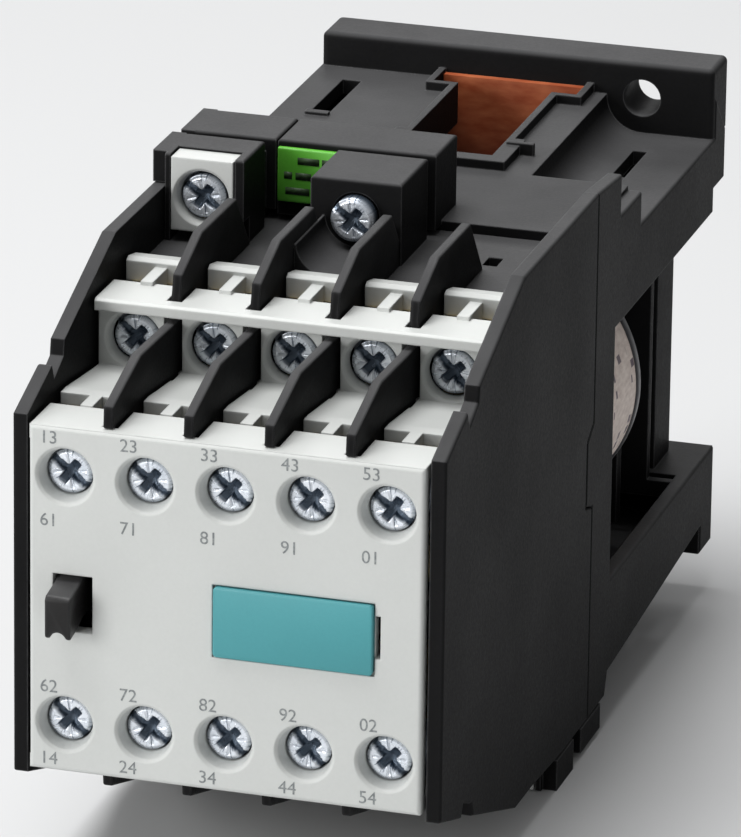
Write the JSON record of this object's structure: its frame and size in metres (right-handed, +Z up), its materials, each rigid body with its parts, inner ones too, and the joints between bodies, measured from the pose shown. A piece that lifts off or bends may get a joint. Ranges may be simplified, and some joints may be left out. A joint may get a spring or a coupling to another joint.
{
  "type": "din rail contactor",
  "caption": "Rail-mounted control contactor with two tiers of screw terminals, insulating fins, coil and sliding contact carriage.",
  "frame": {"origin": "centre of the rail seat: on the rail's front plane and the rail's centre line", "axes": "+X to the right seen from the front, +Y backwards to the panel, +Z up"},
  "size_m": [0.055, 0.1396, 0.0808],
  "materials": {
    "grey_plastic": "satin moulded",
    "black_plastic": "fine-grained moulded",
    "teal_plastic": "satin moulded",
    "green_plastic": "satin printed",
    "dark_plastic": "moulded",
    "zinc_steel": "zinc plated",
    "contact_brass": "stamped",
    "spring_steel": "drawn wire",
    "bobbin_plastic": "moulded",
    "winding_copper": "taped enamelled wire",
    "label_paper": "paper",
    "phenolic_board": "laminated board",
    "core_iron": "machined",
    "damper_rubber": "moulded",
    "pin_steel": "ground",
    "latch_plastic": "moulded"
  },
  "bodies": {
    "case": {"front_cover": "grey_plastic", "upper_terminal_cover": "grey_plastic", "lower_terminal_cover": "grey_plastic", "coil_terminal_cover_upper": "grey_plastic", "coil_terminal_cover_lower": "grey_plastic", "front_housing": "black_plastic", "fin_walls_upper": "black_plastic", "fin_walls_lower": "black_plastic", "rear_housing": "black_plastic", "coil_terminal_block_upper": "black_plastic", "coil_terminal_block_lower": "black_plastic", "marking_plate": "teal_plastic", "rating_label": "green_plastic", "terminal_screws_front": "zinc_steel", "terminal_screws_rear": "zinc_steel", "coil_terminal_screws": "zinc_steel", "housing_screws": "zinc_steel", "clamp_washers_front": "zinc_steel", "clamp_washers_rear": "zinc_steel", "coil_clamp_washers": "zinc_steel", "fixed_contacts_front": "contact_brass", "fixed_contacts_rear": "contact_brass", "coil_terminal_bars": "contact_brass", "return_spring_left": "spring_steel", "return_spring_right": "spring_steel", "rail_latch_spring": "spring_steel", "coil_bobbin": "bobbin_plastic", "coil_winding": "winding_copper", "coil_label": "label_paper", "insulating_plate": "phenolic_board", "fixed_core": "core_iron", "core_damper": "damper_rubber"},
    "contact_carriage": {"armature": "core_iron", "armature_pin": "pin_steel", "contact_carrier": "dark_plastic", "moving_bridges_nc": "contact_brass", "moving_bridges_no": "contact_brass", "contact_springs_nc": "spring_steel", "contact_springs_no": "spring_steel", "position_indicator": "dark_plastic"},
    "rail_latch": {"rail_latch": "latch_plastic"}
  },
  "joints": [
    {"name": "carriage_slide", "type": "slide", "parent": "case", "child": "contact_carriage", "axis": [0, 1, 0], "range_m": [0, 0.004], "stiffness_N_per_m": 900, "springref_m": -0.004, "deforming": ["return_spring_left", "return_spring_right"]},
    {"name": "latch_slide", "type": "slide", "parent": "case", "child": "rail_latch", "axis": [0, 0, -1], "range_m": [0, 0.003], "stiffness_N_per_m": 2500, "springref_m": -0.0015, "deforming": ["rail_latch_spring"]}
  ]
}
